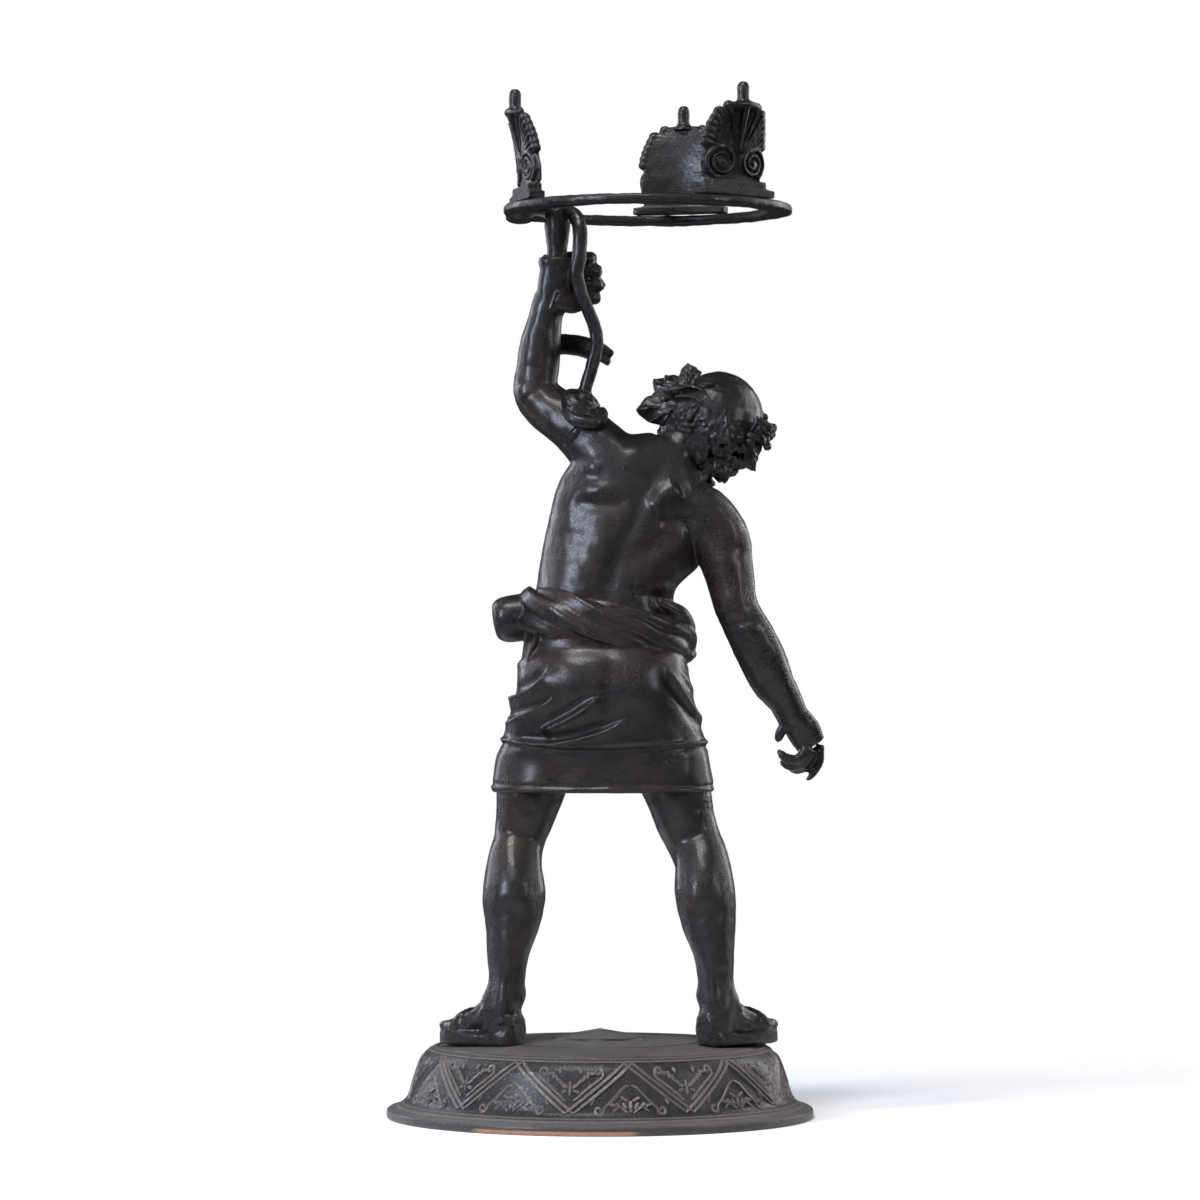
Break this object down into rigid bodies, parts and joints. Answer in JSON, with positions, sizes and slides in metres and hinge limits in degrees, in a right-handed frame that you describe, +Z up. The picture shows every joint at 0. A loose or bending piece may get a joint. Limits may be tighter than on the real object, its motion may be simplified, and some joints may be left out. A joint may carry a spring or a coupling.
{
  "type": "silenus statue",
  "caption": "Bronze silenus in a wrapped kilt on a round plinth, lifting a serpent ring with palmettes that holds a vase.",
  "frame": {"origin": "centre of the plinth's flat underside", "axes": "+Z up, +Y the way the figure's feet and chest face, +X to the figure's right hand"},
  "size_m": [0.2523, 0.245, 0.5899],
  "materials": {
    "figure_bronze": "dark brown patina, satin",
    "plinth_bronze": "dusty grey-brown patina, worn to copper on the lip",
    "ring_bronze": "dark brown patina, satin"
  },
  "bodies": {
    "root": {"plinth": "plinth_bronze", "silenus": "figure_bronze", "serpent_ring": "ring_bronze", "palmette_right": "ring_bronze", "palmette_far": "ring_bronze", "palmette_left": "ring_bronze"}
  },
  "joints": []
}
